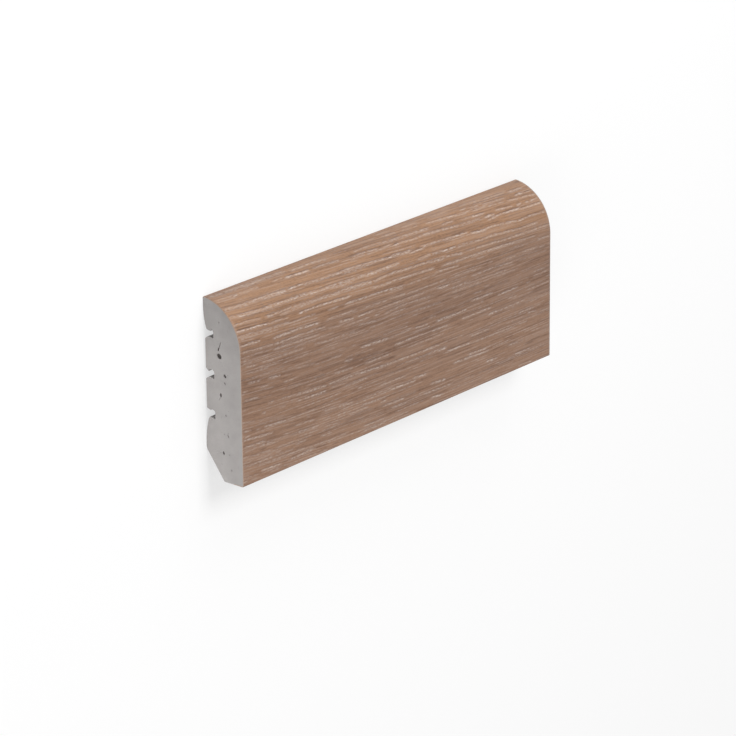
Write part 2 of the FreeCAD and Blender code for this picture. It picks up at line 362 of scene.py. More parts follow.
shoulder_veins = (
    (0.5, 0.8, (0, 56.4), (4, 55.9), (8, 55.6), (14, 55.3)), (0.8, 0.5, (14, 55.2), (18, 55.4)),
    (0.6, 0.8, (17, 55.2), (22, 55), (28, 54.8), (33, 54.8), (37, 54.3), (41, 54.1)),
    (0.6, 0.3, (27, 54.7), (30, 54.7), (36, 54.4)),
    (0.55, 0.7, (40, 54), (45, 54.3), (51, 54), (57, 53.8)),
    (0.5, 0.6, (45, 53.7), (50, 53.2), (57, 53.3)),
    (0.6, 0.8, (59, 53.8), (63, 53.4), (68, 53.2), (72, 53.2), (79, 53.3)),
    (0.6, 0.3, (62.5, 53), (64.5, 53.3)), (0.55, 0.5, (0, 53.5), (5, 53.3), (10, 52.9), (12.5, 52.5)),
    (0.85, 0.4, (14, 52.6), (17, 52.4), (20, 52.3)),
    (0.5, 0.4, (19, 52.3), (26, 52.5), (32, 52.2), (37, 52.1)),
    (0.45, 0.6, (20, 51.5), (24, 51.5), (30, 51.6), (36, 51.7), (40, 51.7)),
    (0.65, 0.6, (38, 51.7), (42, 51.8), (45, 51.4), (48, 51.1)),
    (0.65, 0.7, (47.5, 51.6), (52, 51.4), (56, 51.4), (60, 51.1), (64, 50.7), (66, 50.5)),
    (0.7, 0.5, (65, 50.5), (68, 50.9), (72, 50.9), (75, 51), (78, 50.7)),
    (1, 0.45, (0, 51.3), (3, 51.2), (6, 50.9), (10, 50.7), (15, 50.3)),
    (0.5, 0.4, (14, 50.1), (18, 50.2), (23.5, 49.8)),
    (0.4, 0.9, (0, 49.4), (5, 49.2), (10, 48.8), (20, 48.4)),
    (0.9, 0.4, (28, 49.8), (33, 49.9), (38, 49.7), (41, 49.6), (45, 49.3)),
    (0.95, 0.45, (43, 49.4), (47, 49.3), (49, 49.1), (53, 49)),
    (0.5, 0.4, (20, 48.2), (25, 47.9), (30, 47.9), (36, 47.7)),
    (0.85, 0.5, (0, 46.6), (3, 46.7), (9.5, 46.1)),
    (0.55, 0.6, (63, 48.8), (66, 48.6), (70, 48.4), (73, 48.5), (79, 48.3)),
    (0.55, 0.4, (41, 47.4), (44, 47.2), (47, 47.4)),
    (0.75, 0.4, (49, 47.2), (53, 47.1), (60, 46.8), (68, 46.5), (72, 46.2), (79, 45.8)),
    (0.75, 0.6, (77, 56.3), (80, 56.2), (83, 55.7), (87, 55.6)),
    (0.85, 0.4, (85, 54.9), (89, 54.9), (93, 54.8)),
    (0.55, 0.7, (91, 55.6), (96, 55.4), (100, 55.3), (104, 55), (107, 54.9)),
    (0.7, 0.5, (102, 55), (107, 54.9), (110, 54.6), (115, 54.5)), (0.4, 0.4, (76, 53.3), (80, 53.4)),
    (0.55, 0.6, (87, 52.2), (90, 52), (92, 52.3), (96, 51.9), (101, 51.8)),
    (0.95, 0.4, (99, 51.7), (107, 51.5)),
    (0.5, 0.8, (106.5, 51), (109, 51.3), (113, 51), (118, 50.7)),
    (0.65, 0.5, (76, 50.9), (80, 50.6), (86, 50.3), (90, 50.1), (94, 49.7), (100, 49.3)),
    (0.7, 0.5, (100, 49.6), (103, 49.5), (106, 49), (109, 48.8)), (0.4, 0.5, (109, 48.9), (117, 48.6)),
    (0.65, 0.5, (76, 48.4), (80, 48.2), (84, 48.1), (88, 47.8), (94, 47.4)),
    (0.7, 0.5, (97.5, 47.2), (100, 47.3), (104, 46.9), (109, 46.9), (117, 46.6), (125, 46.3), (134, 45.9)),
    (0.6, 0.5, (126, 55.8), (132, 56.2), (135, 56.4)),
    (0.95, 0.55, (134, 56.3), (137, 56.1), (140, 56), (144, 55.6)),
    (0.75, 0.5, (143, 55.5), (148, 55.2), (151, 55.2), (154.5, 55)),
    (0.85, 0.6, (115.5, 53.9), (118, 53.5), (121, 53.2), (124, 53.2)),
    (0.65, 0.5, (122, 53.4), (127, 53.5), (130, 53.2), (133, 52.9)),
    (0.6, 0.5, (132, 52.8), (136, 52.6), (140, 51.9), (142, 52), (144, 52.3), (148, 52.1), (154.5, 51.7)),
    (0.55, 0.6, (116, 50.8), (119, 50.5), (124, 50.7), (128, 50.4), (131, 49.9)),
    (0.65, 0.5, (130, 49.9), (134, 50), (138, 49.4), (144, 49.3), (149, 49.1)),
    (0.6, 0.5, (114, 48.7), (119, 48.5), (125, 48.2), (131, 47.7), (137, 47.6), (141, 47.4)),
    (0.6, 0.5, (141, 47.6), (145, 47.2), (151, 47.3), (154.5, 46.9)),
    (0.6, 0.8, (3, 55.8), (14, 55.2), (26, 54.9), (38, 54.4)),
    (0.55, 0.7, (38, 54.2), (50, 54), (62, 53.6)), (0.5, 0.6, (14, 52.4), (24, 52.4), (36, 52.1)),
    (0.5, 0.7, (36, 51.8), (50, 51.4), (63, 50.7)), (0.5, 0.8, (61, 53.3), (78, 53.2)),
    (0.4, 0.8, (0, 48.8), (12, 48.6), (24, 48.3)),
)
main_face_veins = (
    (0.8, (15, 45.3), (30, 45.1)), (1, (29, 45), (37, 44.5)), (0.6, (0, 44.6), (15, 43.3)),
    (0.75, (15, 43.2), (30, 42.9)), (0.6, (30, 42.8), (40, 42.4)), (0.6, (15, 41.6), (37, 40.6)),
    (0.4, (0, 41.5), (14, 40.5)), (0.55, (2, 39.5), (8, 38.8)), (0.5, (71, 45.8), (79, 45.3)),
    (0.6, (40, 44.5), (55, 44)), (0.9, (46, 42.2), (53, 41.5)), (0.75, (55, 41.5), (64, 41.4)),
    (0.55, (58, 43.6), (70, 43)), (0.65, (70, 43.4), (79, 42.8)), (0.5, (65, 41.2), (79, 41)),
    (0.4, (48, 40), (61, 39.7)), (0.6, (55, 38.5), (65, 37.5)), (0.5, (39, 37.4), (49, 37.2)),
    (0.6, (71, 37.9), (79, 37.8)), (0.7, (94, 46), (106, 45.3)), (0.4, (79, 45.6), (94, 45.3)),
    (0.5, (79, 42.5), (100, 42.2)), (0.95, (94, 40.3), (101, 39.8)), (0.5, (79, 41), (88, 40.5)),
    (0.5, (79, 39.3), (93, 38.4)), (0.5, (112, 39.9), (126, 39.7)), (0.65, (126, 39.6), (134, 39.1)),
    (0.65, (130, 46), (147, 45.1)), (0.5, (134, 44), (141, 43.5)), (0.7, (147, 43.5), (155, 43.1)),
    (0.7, (139, 41.3), (147, 40.8)), (0.5, (147, 40.7), (152, 40.3)), (0.55, (116, 37.6), (131, 37.2)),
    (0.75, (3, 33.8), (9, 33.2)), (0.8, (12, 32.8), (18, 32.2)), (0.5, (8, 30.8), (13, 30.6)),
    (0.7, (1, 28.5), (8, 28)), (0.5, (19, 29.6), (26, 29.3)), (0.8, (12, 24.7), (15, 24.3)),
    (0.6, (9, 22.1), (11, 21.9)), (0.75, (25, 23.5), (40, 22.5)), (0.75, (29, 21.2), (40, 20.7)),
    (0.75, (10, 17.3), (21, 16.5)), (0.8, (1, 16.4), (3.5, 16.4)), (0.7, (0, 15.6), (14, 14.3)),
    (0.6, (0, 13.2), (11, 12.5)), (0.75, (8, 11.6), (15, 10.9)), (0.65, (25, 10.9), (36, 10.1)),
    (0.5, (2, 9.4), (14, 8.7)), (0.6, (0, 6.6), (14, 6.2)), (0.8, (8, 3.2), (18, 2.6)),
    (0.65, (21, 2.8), (34, 2.9)), (0.55, (10, 5.2), (30, 4.3)), (0.5, (41, 31), (48, 30.6)),
    (0.85, (56, 30.6), (70, 30)), (0.7, (48, 28.1), (53, 27.8)), (0.8, (73, 26.8), (79, 26.5)),
    (0.5, (43, 25.6), (53, 24.9)), (0.6, (58, 24.6), (72, 24.3)), (0.65, (40, 22.7), (56, 22.2)),
    (0.8, (55, 22.1), (68, 21.3)), (0.75, (67, 21.2), (79, 20.9)), (0.55, (48, 19.6), (60, 19.4)),
    (0.7, (55, 17.1), (57, 17)), (0.6, (65, 14.9), (79, 14.6)), (0.6, (45, 13.6), (53, 13.2)),
    (0.45, (57, 12.9), (73, 12.5)), (0.8, (71, 12), (84, 11.5)), (0.7, (56, 10.8), (69, 10.3)),
    (0.6, (50, 9.6), (60, 9.3)), (0.8, (66, 9.1), (69, 8.9)), (0.75, (67, 7.4), (78, 7)),
    (0.7, (71, 5.6), (79, 5.2)), (0.5, (40, 3.6), (50, 3.5)), (0.6, (57, 3.2), (69, 3)),
    (0.6, (57, 1.7), (68, 1.5)), (0.75, (83, 29.7), (90, 29.4)), (0.8, (94, 29), (110, 29)),
    (0.65, (78, 26.8), (101, 26.1)), (0.7, (107, 26.3), (123, 26.1)), (0.4, (79, 24.1), (98, 23.8)),
    (0.7, (78, 20.9), (97, 20.4)), (0.45, (79, 19.2), (95, 18.6)), (1, (95, 18.5), (100, 18.5)),
    (0.9, (99, 17), (112, 16.7)), (0.8, (82, 12.7), (90, 12.1)), (0.7, (103, 11.9), (122, 11.3)),
    (0.85, (91, 8), (99, 7.6)), (0.55, (87, 5.4), (103, 5.1)), (0.9, (91, 3.3), (98, 2.5)),
    (0.6, (80, 3.6), (85, 3.3)), (0.7, (112, 31.2), (124, 31)), (0.8, (126, 29.4), (137, 29.5)),
    (0.95, (121, 24), (127, 23.9)), (0.6, (127, 23.9), (141, 23.9)), (0.7, (137, 20.1), (146, 20)),
    (0.6, (142, 18.8), (147, 18.5)), (0.6, (111, 19.1), (122, 18.8)), (0.5, (112, 16.5), (136, 16)),
    (0.75, (110, 12.8), (121, 12.4)), (0.95, (120, 7.5), (126, 7.3)), (0.75, (135, 5.9), (144, 5.8)),
    (0.7, (132, 10), (137, 9.9)), (0.5, (141, 29.6), (144, 29.4)), (0.7, (152, 29.2), (155, 29.1)),
    (0.6, (137, 1.1), (145, 1)), (0.4, (143, 27), (155, 27.1)), (0.5, (145, 32.7), (152, 32.5)),
)
fine_face_veins = (
    (0.4, 0.5, (0, 42.7), (6, 42.6), (14, 42)), (0.5, 0.6, (9, 39), (18, 38.5), (30, 38.1)),
    (0.45, 0.5, (24, 39.5), (32, 39.7), (44, 39.3)), (0.45, 0.5, (2, 37.3), (7, 36.8), (13, 36.4)),
    (0.35, 0.5, (19, 36), (30, 35.6)), (0.35, 0.5, (2, 35.2), (15, 34.3)),
    (0.5, 0.6, (34, 38), (38, 37.6), (42, 37.3)), (0.4, 0.5, (41, 41.2), (48, 40.6)),
    (0.3, 0.6, (25, 33.5), (33, 33)), (0.3, 0.6, (25, 32.6), (35, 31.6)),
    (0.4, 0.6, (0, 31.5), (3, 31.3)), (0.6, 0.5, (63, 39.6), (66, 39.3)),
    (0.5, 0.6, (68, 38.9), (76, 39.3), (80, 39.2)), (0.45, 0.5, (50, 36.5), (59, 36.1)),
    (0.35, 0.5, (60, 36), (80, 35.9)), (0.45, 0.5, (79, 35.8), (90, 35.4), (97, 35)),
    (0.4, 0.5, (82, 34.5), (85, 34.1)), (0.35, 0.6, (51, 32.2), (55, 32)),
    (0.4, 0.5, (67, 31.8), (74, 31.7), (80, 31.5)), (0.5, 0.5, (76, 30.4), (82, 30.3)),
    (0.4, 0.5, (70, 30), (81, 29.8)), (0.55, 0.5, (82, 28.6), (91, 28.3)),
    (0.4, 0.5, (82, 37.5), (91, 37)), (0.35, 0.6, (90, 31.3), (94, 31)),
    (0.5, 0.5, (102, 42.1), (110, 42), (115, 41.7)), (0.4, 0.5, (102, 39.8), (108, 39.6)),
    (0.5, 0.6, (102, 38.2), (108, 38.4), (111, 38.1)), (0.35, 1.2, (102, 36.8), (110, 36.8), (118, 36.5)),
    (0.4, 0.5, (110, 37.7), (118, 37.6)), (0.4, 0.5, (121, 42.2), (124, 42)),
    (0.4, 0.5, (124, 36.3), (128, 36.1), (137, 36.1)), (0.4, 0.6, (103, 34.7), (110, 34.6)),
    (0.4, 0.5, (119, 34.5), (122, 34.2)), (0.4, 0.5, (113, 33.4), (119, 33.2)),
    (0.5, 0.5, (130, 41.1), (136, 40.9)), (0.3, 0.5, (134, 39.4), (139, 39)),
    (0.3, 0.5, (138, 34.6), (145, 34.4)), (0.4, 0.5, (145, 31.2), (153, 31.1)),
    (0.4, 0.5, (141, 27.1), (146, 27.2)), (0.45, 0.5, (131, 26.8), (137, 26.5)),
    (0.4, 0.5, (110, 29.4), (119, 29.3)), (0.4, 0.5, (115, 45), (120, 44.9)),
    (0.4, 0.5, (0, 25.5), (3, 25.3)), (0.45, 0.5, (17, 21.6), (20.5, 21.4)),
    (0.4, 0.5, (3, 20.7), (6, 20.5)), (0.5, 0.4, (8, 19.9), (10, 19.6)),
    (0.7, 0.5, (0.5, 18.4), (3.5, 18.2)), (0.45, 0.5, (21, 16.6), (35, 16.1)),
    (0.4, 0.5, (6, 17.5), (9, 17.3)), (0.45, 0.5, (30, 14.9), (32, 14.3)),
    (0.45, 0.5, (37, 14.3), (45, 13.7)), (0.5, 0.5, (45, 14), (50, 13.8)),
    (0.5, 0.5, (24, 13.4), (34, 12.8)), (0.4, 0.5, (0, 11.4), (6, 11.5)),
    (0.5, 0.5, (19, 12.1), (22, 11.8)), (0.45, 0.5, (38, 11.3), (43, 10.8)),
    (0.5, 0.5, (44, 10.8), (50, 10.8)), (0.4, 0.5, (15, 8.7), (24, 8.3)),
    (0.4, 0.5, (24, 8.3), (33, 8)), (0.4, 0.6, (6, 7.5), (14, 7.3)), (0.4, 0.5, (15, 7.1), (18, 7)),
    (0.5, 0.5, (24, 7.2), (29, 6.9)), (0.6, 0.5, (36, 6.3), (42, 6)), (0.4, 0.5, (14, 6.2), (24, 5.8)),
    (0.45, 0.5, (6, 5.3), (20, 4.9)), (0.55, 0.5, (28, 4.4), (31, 4.2)), (0.5, 0.5, (30, 4.1), (44, 3.5)),
    (0.6, 0.5, (28, 3.2), (32, 3)), (0.7, 0.5, (0, 1.8), (2, 1.6)), (0.35, 0.6, (3, 1.6), (8, 1.3)),
    (0.35, 0.6, (12, 1.5), (17, 1.3)), (0.65, 0.5, (30, 1.1), (34, 0.9)),
    (0.6, 0.5, (36, 1), (40, 0.7)), (0.5, 0.5, (18, 24.4), (25, 23.7)),
    (0.4, 0.5, (38, 8.9), (46, 8.1)), (0.55, 0.4, (25, 21.5), (29, 21.2)),
    (0.4, 0.5, (41, 21.2), (50, 20.7)),
)


def scatter_fibres(grain, foot, shoulder, top):
    """Seeded ground of the grain: soft haze, dark fibres and fine limed pores."""
    everywhere = (foot, top)
    grain.scatter(
        grain.haze_and_painted_shade, 160, everywhere, lengths=(20, 90), spreads=(0.5, 1.8), powers=(0.3, 1.0))
    grain.scatter(
        grain.shade, 300, everywhere, lengths=(12, 60), spreads=(0.13, 0.22), powers=(0.2, 0.65))
    grain.scatter(
        grain.lime, 60, everywhere, lengths=(12, 45), spreads=(0.35, 0.8), powers=(0.05, 0.15))
    grain.scatter(
        grain.lime, 160, everywhere, lengths=(4, 14), spreads=(0.11, 0.17), powers=(0.1, 0.3), tilt=0.02)
    grain.scatter(
        grain.shade, 300, (foot, shoulder), lengths=(3, 22), spreads=(0.12, 0.18), powers=(0.35, 0.9),
        tilt=0.02)


def draw_lines(grain, foot, shoulder, top):
    """Lines of the grain from the foot up: close and strongest near the foot, sparse on the crown."""
    lower_part = 26.0
    height = foot
    while height < shoulder:
        strongest = 0.38 if height < lower_part else 0.28
        grain.line(
            height, dashes=(10, 42), gaps=(0.5, 12), spreads=(0.11, 0.15), powers=(0.04, strongest))
        height += grain.random.uniform(0.6, 1.0)
    while height < top:
        grain.line(height, dashes=(8, 30), gaps=(3, 18), spreads=(0.12, 0.17), powers=(0.05, 0.32))
        height += grain.random.uniform(0.7, 1.2)


def draw_veins(grain):
    """The veins as read off, each group with its own share of their strength and width."""
    top_strength, shoulder_strength, face_strength = 1.04, 0.9, 0.85
    crown_width = 1.15
    main_face_width = 0.55
    for strength, width, *points in top_veins:
        grain.vein(top_strength * strength, crown_width * width, *points)
    for strength, width, *points in shoulder_veins:
        grain.vein(shoulder_strength * strength, crown_width * width, *points)
    for strength, *points in main_face_veins:
        grain.vein(face_strength * strength, main_face_width, *points)
    for strength, width, *points in fine_face_veins:
        grain.vein(face_strength * strength, width, *points)


def shade_bands(grain):
    """Broad differences of tone: a dull band, a lighter foot to the left, and painted shade along the top
    edge.
    """
    s = grain.s[:, None]
    dull_middle, dull_width = 31.5, 8
    light_share, light_end, light_height = 0.9, 125, 23
    painted_top_shade, top_from, top_run = 0.6, 64.3, 1.5
    grain.haze_and_painted_shade += np.exp(-((s - dull_middle) / dull_width) ** 2)
    leftness = np.clip(1.1 - grain.x / light_end, 0, 1)
    grain.haze_and_painted_shade -= light_share * leftness * np.exp(-(s / light_height) ** 2)
    # Painted shade: the top darkens towards the back edge, where it turns away from the light
    grain.haze_and_painted_shade += painted_top_shade * np.clip((s - top_from) / top_run, 0, 1)


def grow_grain(grain):
    """Fill the grid with fibres, lines, veins and broad bands, and whiten the sawn edges a little."""
    past_top = 10               # what starts above the back edge falls into view further right
    foot, shoulder, top = grain.s[0], 46.0, grain.s[-1] + past_top
    edge_lime = 0.18
    scatter_fibres(grain, foot, shoulder, top)
    draw_lines(grain, foot, shoulder, top)
    draw_veins(grain)
    shade_bands(grain)
    grain.lime[:, [0, -1]] = np.maximum(grain.lime[:, [0, -1]], edge_lime)


# Helpers


def new_object(name, data):
    """Object with the given data, in the scene."""
    item = bpy.data.objects.new(name, data)
    bpy.context.scene.collection.objects.link(item)
    return item


def new_material(name):
    """Empty node material and its tree."""
    material = bpy.data.materials.new(name)
    material.use_nodes = True
    material.node_tree.nodes.clear()
    return material, material.node_tree


def add(tree, kind, **values):
    """New node, with values for its sockets or its own settings."""
    node = tree.nodes.new(kind)
    for key, value in values.items():
        if key in node.inputs:
            node.inputs[key].default_value = value
        else:
            setattr(node, key, value)
    return node


def link(tree, source, target):
    tree.links.new(source, target)


def own_position(tree):
    """Position on the piece as a whole, and its X, Y and Z apart."""
    position = add(tree, "ShaderNodeTexCoord").outputs["Object"]
    apart = add(tree, "ShaderNodeSeparateXYZ")
    link(tree, position, apart.inputs["Vector"])
    return position, apart.outputs


def noise(tree, vector, scale, detail=3.0, stretch=(1, 1, 1), offset=(0, 0, 0)):
    """Noise along stretched coordinates."""
    mapping = add(tree, "ShaderNodeMapping")
    mapping.inputs["Scale"].default_value = stretch
    mapping.inputs["Location"].default_value = offset
    texture = add(tree, "ShaderNodeTexNoise", Scale=scale, Detail=detail)
    link(tree, vector, mapping.inputs["Vector"])
    link(tree, mapping.outputs["Vector"], texture.inputs["Vector"])
    return texture.outputs["Fac"]


def math_node(tree, operation, first, second=None, clamp=False):
    """Result of a sum or the like, of numbers or sockets."""
    node = add(tree, "ShaderNodeMath", operation=operation, use_clamp=clamp)
    for socket, value in zip(node.inputs, (first, second)):
        if value is None:
            continue
        if isinstance(value, (int, float)):
            socket.default_value = value
        else:
            link(tree, value, socket)
    return node.outputs["Value"]


def spread_range(tree, value, low, high, to_low=0.0, to_high=1.0):
    """Value carried over from one range to another, and kept inside it."""
    node = add(tree, "ShaderNodeMapRange", clamp=True)
    for name, amount in (("From Min", low), ("From Max", high), ("To Min", to_low), ("To Max", to_high)):
        node.inputs[name].default_value = amount
    link(tree, value, node.inputs["Value"])
    return node.outputs["Result"]


def mix_colour(tree, factor, first, second):
    """Mix of two colours; each value is a number, a colour or a socket."""
    node = add(tree, "ShaderNodeMix", data_type="RGBA")
    inputs = (node.inputs["Factor"], node.inputs[6], node.inputs[7])
    for socket, value in zip(inputs, (factor, first, second)):
        if isinstance(value, (int, float)):
            socket.default_value = value
        elif isinstance(value, tuple):
            socket.default_value = (*value[:3], 1)
        else:
            link(tree, value, socket)
    return node.outputs[2]


def attribute(tree, name, output="Fac"):
    """Values painted on the mesh."""
    node = add(tree, "ShaderNodeAttribute", attribute_name=name)
    return node.outputs[output]


def finish_material(tree, colour, roughness, height, distance, strength, specular):
    """Shader with its colour, gloss and fine bump, joined to the output."""
    shader = add(tree, "ShaderNodeBsdfPrincipled")
    shader.inputs["Specular IOR Level"].default_value = specular
    link(tree, colour, shader.inputs["Base Color"])
    if isinstance(roughness, float):
        shader.inputs["Roughness"].default_value = roughness
    else:
        link(tree, roughness, shader.inputs["Roughness"])
    bump = add(tree, "ShaderNodeBump", Strength=strength, Distance=distance)
    link(tree, height, bump.inputs["Height"])
    link(tree, bump.outputs["Normal"], shader.inputs["Normal"])
    output = add(tree, "ShaderNodeOutputMaterial")
    link(tree, shader.outputs["BSDF"], output.inputs["Surface"])


# Materials


def foil_face_material(settings):
    """Printed foil: dull oak, warmer towards the top where it is also lighter as painted light, darkened
    by a broad haziness with painted shade along the top edge, by fibres and by lines, with lime in the
    pores.
    """
    haze_share, cloud_share, fibre_share, fine_share, shade_share = 0.14, 0.14, 0.35, 0.25, 0.8
    least_lime, most_lime = 0.1, 1.35
    sheen, lime_dulls = 0.42, 0.2
    material, tree = new_material("limed_oak_foil")
    grain = attribute(tree, "grain", "Vector")
    fibre = noise(tree, grain, 1.0, 4.0, (0.12, 4.5, 1))
    fine = noise(tree, grain, 1.0, 2.0, (0.8, 2.6, 1), (40, 7, 0))
    cloud = noise(tree, grain, 1.0, 2.0, (0.02, 0.12, 1), (3, 19, 0))
    lime = attribute(tree, "lime")
    shade = attribute(tree, "shade")
    haze_and_painted_shade = attribute(tree, "haze_and_painted_shade")
    warm_and_painted_light = attribute(tree, "warm_and_painted_light")

    # Ground, warmer and lighter towards the top: print with painted light on the crown
    ground = mix_colour(tree, warm_and_painted_light, tuple(settings.oak), tuple(settings.warm_oak_and_painted_light))
    darker = math_node(tree, "MULTIPLY", haze_and_painted_shade, haze_share)
    unevenness = (
        (cloud, 0.35, 0.7, cloud_share), (fibre, 0.35, 0.7, fibre_share), (fine, 0.42, 0.68, fine_share))
    for value, low, high, share in unevenness:
        darker = math_node(tree, "ADD", darker, spread_range(tree, value, low, high, 0.0, share))
    darker = math_node(tree, "ADD", darker, math_node(tree, "MULTIPLY", shade, shade_share), clamp=True)
    lined = mix_colour(tree, darker, ground, tuple(settings.vein))
    grit = spread_range(tree, fine, 0.36, 0.6, least_lime, most_lime)
    filled = math_node(tree, "MULTIPLY", lime, grit, clamp=True)
    limed = mix_colour(tree, filled, lined, tuple(settings.lime))
    roughness = math_node(tree, "ADD", math_node(tree, "MULTIPLY", lime, lime_dulls), sheen)
    finish_material(tree, limed, roughness, fine, distance=0.02 * MM, strength=0.6, specular=0.35)
    return material


def foil_edge_material(settings):
    """Sawn edge of the foil: a thin pale line, duller where it is worn and on the crown."""
    material, tree = new_material("foil_cut_edge")
    position, apart = own_position(tree)
    mottle = noise(tree, position, 2500.0)
    edge = tuple(settings.cut_edge)
    dull = tuple(value * 0.8 for value in edge)
    on_crown = spread_range(tree, apart["Y"], 10 * MM, 22 * MM)
    worn = math_node(tree, "MAXIMUM", spread_range(tree, mottle, 0.4, 0.8), on_crown)
    colour = mix_colour(tree, worn, edge, dull)
    finish_material(tree, colour, 0.7, mottle, distance=0.02 * MM, strength=0.5, specular=0.3)
    return material


def foam_material(settings, sawn):
    """Foam: clouded and pitted where it is sawn, smoother and lined along the board elsewhere; painted
    light makes it paler towards the foot and the back, painted shade darker towards the top and in the
    pits.
    """
    material, tree = new_material("sawn_foam" if sawn else "moulded_foam")
    position, apart = own_position(tree)
    cloud = noise(tree, position, 220.0)
    cells = noise(tree, position, 2600.0, 4.0)
    foam = tuple(settings.foam)
    light = tuple(min(value * 1.18, 1.0) for value in foam)
    dull = tuple(value * 0.82 for value in foam)
    # Painted light and shade: paler towards the foot and the back, darker towards the top
    foot = spread_range(tree, apart["Y"], -30 * MM, 0.0, 0.75, 0.5)
    top = spread_range(tree, apart["Y"], 10 * MM, 27 * MM, 0.0, -0.6)
    back = spread_range(tree, apart["Z"], 0.0, 12 * MM, 0.4, 0.0)
    painted_light_and_shade = math_node(tree, "ADD", math_node(tree, "ADD", foot, top), back)
    uneven = spread_range(tree, cloud, 0.3, 0.7, -0.15, 0.15)
    colour = mix_colour(tree, math_node(tree, "ADD", painted_light_and_shade, uneven, clamp=True), dull, light)
    # Painted shade: the small pits take the darker pore colour
    spots = add(tree, "ShaderNodeTexVoronoi", Scale=900.0)
    link(tree, position, spots.inputs["Vector"])
    pits = spread_range(tree, spots.outputs["Distance"], 0.1, 0.3, 0.3 if sawn else 0.15, 0.0)
    rare = spread_range(tree, cells, 0.5, 0.62)
    colour = mix_colour(tree, math_node(tree, "MULTIPLY", pits, rare), colour, tuple(settings.pore))
    if not sawn:
        lines = noise(tree, position, 1.0, 3.0, (3, 2200, 2200))
        colour = mix_colour(tree, spread_range(tree, lines, 0.35, 0.7, 0.0, 0.25), colour, dull)
    height = math_node(tree, "SUBTRACT", cells, math_node(tree, "MULTIPLY", pits, 2.0))
    roughness = 0.82 if sawn else 0.6
    finish_material(tree, colour, roughness, height, distance=0.05 * MM, strength=0.6, specular=0.25)
    return material


def pore_material(settings):
    """Pore wall: the foam's own colour at the rim, darker further in as painted shade."""
    material, tree = new_material("pore_wall")
    position, apart = own_position(tree)
    mottle = noise(tree, position, 3000.0)
    pore = tuple(settings.pore)
    # Painted shade: darker still deeper in the pore, back to the foam colour at the rim
    dark = tuple(value * 0.7 for value in pore)
    colour = mix_colour(tree, spread_range(tree, mottle, 0.35, 0.65), dark, pore)
    end = board_length / 2
    rim_depth = 0.3 * MM
    rim = spread_range(tree, math_node(tree, "ABSOLUTE", apart["X"]), end - rim_depth, end)
    colour = mix_colour(tree, rim, colour, tuple(settings.foam))
    finish_material(tree, colour, 0.9, mottle, distance=0.04 * MM, strength=0.6, specular=0.2)
    return material


# Foil


def foil_points(settings, path, s, along, grain):
    """Points of the outer side, with the grain pressed in, and then of the plain inner side."""
    lime_depth, shade_depth = 0.75, 0.6
    level_rows = 3              # the grain is pressed in from nothing over these rows
    rows = len(s)
    rim = np.clip(np.minimum(np.arange(rows), np.arange(rows)[::-1]) / level_rows, 0, 1)
    relief = np.clip(lime_depth * grain.lime + shade_depth * grain.shade, 0, 1)
    pressed = settings.emboss * relief * rim[:, None]

    depth, height, turn = path.points(s)
    out_depth = -np.cos(turn)
    out_height = np.sin(turn)
    outer = np.empty((rows, len(along), 3))
    outer[..., 0] = along - board_length / 2
    outer[..., 1] = (height - board_height / 2)[:, None] - out_height[:, None] * pressed
    outer[..., 1] = np.minimum(outer[..., 1], cad_high[1])
    outer[..., 2] = (board_depth - depth)[:, None] + out_depth[:, None] * pressed
    inner = np.empty((rows, 2, 3))
    inner[..., 0] = (-board_length / 2, board_length / 2)
    inner[..., 1] = (height - out_height * settings.thickness - board_height / 2)[:, None]
    inner[..., 2] = (board_depth - depth + out_depth * settings.thickness)[:, None]
    return np.concatenate([outer.reshape(-1, 3), inner.reshape(-1, 3)])


def foil_faces(rows, columns):
    """Faces of the outer side, the inner side and the cut edges, and where the last two begin."""
    skin = np.arange(rows * columns).reshape(rows, columns)
    back = np.arange(rows * 2).reshape(rows, 2) + rows * columns
    outer = np.stack([skin[:-1, :-1], skin[:-1, 1:], skin[1:, 1:], skin[1:, :-1]], -1)
    faces = outer.reshape(-1, 4).tolist()
    inner_side = len(faces)
    for row in range(rows - 1):
        faces.append((back[row, 0], back[row + 1, 0], back[row + 1, 1], back[row, 1]))
    cut_edges = len(faces)
    for row in range(rows - 1):
        faces.append((skin[row, 0], skin[row + 1, 0], back[row + 1, 0], back[row, 0]))
        faces.append((skin[row, -1], back[row, 1], back[row + 1, 1], skin[row + 1, -1]))
    faces.append((*skin[0, ::-1].tolist(), back[0, 0], back[0, 1]))
    faces.append((*skin[-1, :].tolist(), back[-1, 1], back[-1, 0]))
    return [tuple(int(corner) for corner in face) for face in faces], inner_side, cut_edges


def paint_grain(mesh, grain):
    """Hand the grain to the material as values of the outer side's points."""
    # Share of the warmer, lighter ground: print with painted light towards the crown
    warm_from, warm_to, fall_share = 42.5, 54.0, 0.75
    x = grain.x[None, :]
    fall = drift(x, grain.s[:, None])
    level = grain.s[:, None] + fall
    warm_and_painted_light = np.clip((level - fall_share * fall - warm_from) / (warm_to - warm_from), 0, 1)
    painted = grain.lime.size
    values = {"lime": grain.lime, "shade": grain.shade, "haze_and_painted_shade": grain.haze_and_painted_shade, "warm_and_painted_light": warm_and_painted_light}
    for name, value in values.items():
        full = np.zeros(len(mesh.vertices), np.float32)
        full[:painted] = value.ravel()
        mesh.attributes.new(name, "FLOAT", "POINT").data.foreach_set("value", full)
    flat = np.zeros((len(mesh.vertices), 3), np.float32)
    flat[:painted, 0] = np.broadcast_to(x, level.shape).ravel()
    flat[:painted, 1] = level.ravel()
    mesh.attributes.new("grain", "FLOAT_VECTOR", "POINT").data.foreach_set("vector", flat.ravel())


